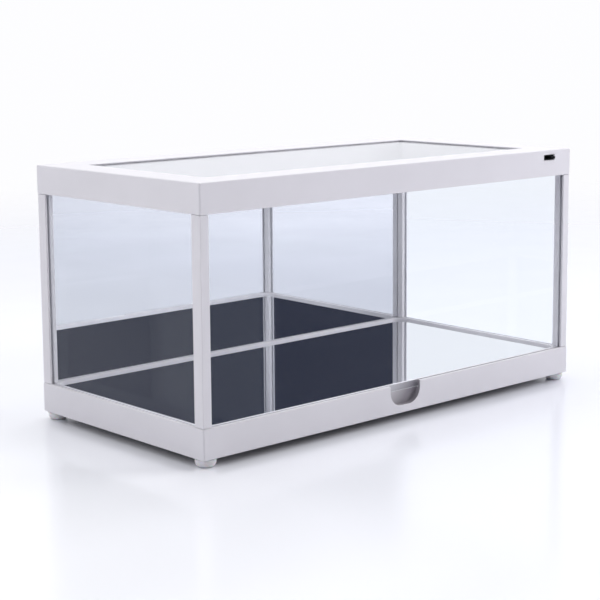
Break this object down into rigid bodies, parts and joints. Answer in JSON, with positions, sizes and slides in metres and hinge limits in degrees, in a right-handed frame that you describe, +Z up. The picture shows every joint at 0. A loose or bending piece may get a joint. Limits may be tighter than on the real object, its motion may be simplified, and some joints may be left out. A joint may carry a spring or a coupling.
{
  "type": "display case",
  "caption": "Box-shaped lit display case for a scale model car: mirror floor and back, clear sides and roof, slim corner posts, wide lid frame, round feet.",
  "frame": {"origin": "centre of the bounding box at the underside of the feet; the case itself is centred 1.1 mm behind it, because the switch knob stands out in front", "axes": "+X to the right along the long side, +Y to the mirror back, +Z up"},
  "size_m": [0.355, 0.1792, 0.1765],
  "materials": {
    "white_plastic": "satin moulded",
    "clear_acrylic": "polished clear",
    "mirror_acrylic": "polished mirror",
    "soft_rubber": "satin",
    "plated_steel": "plated",
    "black_plastic": "matte",
    "circuit_board": "solder mask",
    "frosted_diffuser": "frosted",
    "wire_insulation": "smooth"
  },
  "bodies": {
    "base": {"back_mirror": "mirror_acrylic", "base_frame": "white_plastic", "base_plate": "black_plastic", "floor_mirror": "mirror_acrylic", "foot_back_left": "soft_rubber", "foot_back_right": "soft_rubber", "foot_front_left": "soft_rubber", "foot_front_right": "soft_rubber", "left_pane": "clear_acrylic", "plate_screw_back_left": "plated_steel", "plate_screw_back_right": "plated_steel", "plate_screw_front_left": "plated_steel", "plate_screw_front_right": "plated_steel", "post_back_left": "white_plastic", "post_back_right": "white_plastic", "post_front_left": "white_plastic", "post_front_right": "white_plastic", "post_screw_back_left": "plated_steel", "post_screw_back_right": "plated_steel", "post_screw_front_left": "plated_steel", "post_screw_front_right": "plated_steel", "right_pane": "clear_acrylic"},
    "front_pane": {"front_pane": "clear_acrylic"},
    "lid": {"lid_frame": "white_plastic", "lid_inner_frame": "white_plastic", "roof_pane": "clear_acrylic", "led_board_front": "circuit_board", "led_board_back": "circuit_board", "light_diffuser_front": "frosted_diffuser", "light_diffuser_back": "frosted_diffuser", "switch_body": "black_plastic", "power_socket": "plated_steel", "wire_led_link": "wire_insulation", "wire_socket_to_switch": "wire_insulation", "wire_switch_to_leds": "wire_insulation", "lid_screw_front_left": "plated_steel", "lid_screw_front_right": "plated_steel", "lid_screw_back_left": "plated_steel", "lid_screw_back_right": "plated_steel", "lid_screw_left": "plated_steel", "lid_screw_right": "plated_steel"},
    "switch_knob": {"switch_knob": "black_plastic"}
  },
  "joints": [
    {"name": "front_pane_lift", "type": "slide", "parent": "base", "child": "front_pane", "axis": [0, 0, 1], "range_m": [0, 0.0055]},
    {"name": "lid_lift", "type": "slide", "parent": "base", "child": "lid", "axis": [0, 0, 1], "range_m": [0, 0.16]},
    {"name": "switch_slide", "type": "slide", "parent": "lid", "child": "switch_knob", "axis": [1, 0, 0], "range_m": [-0.0045, 0]}
  ]
}
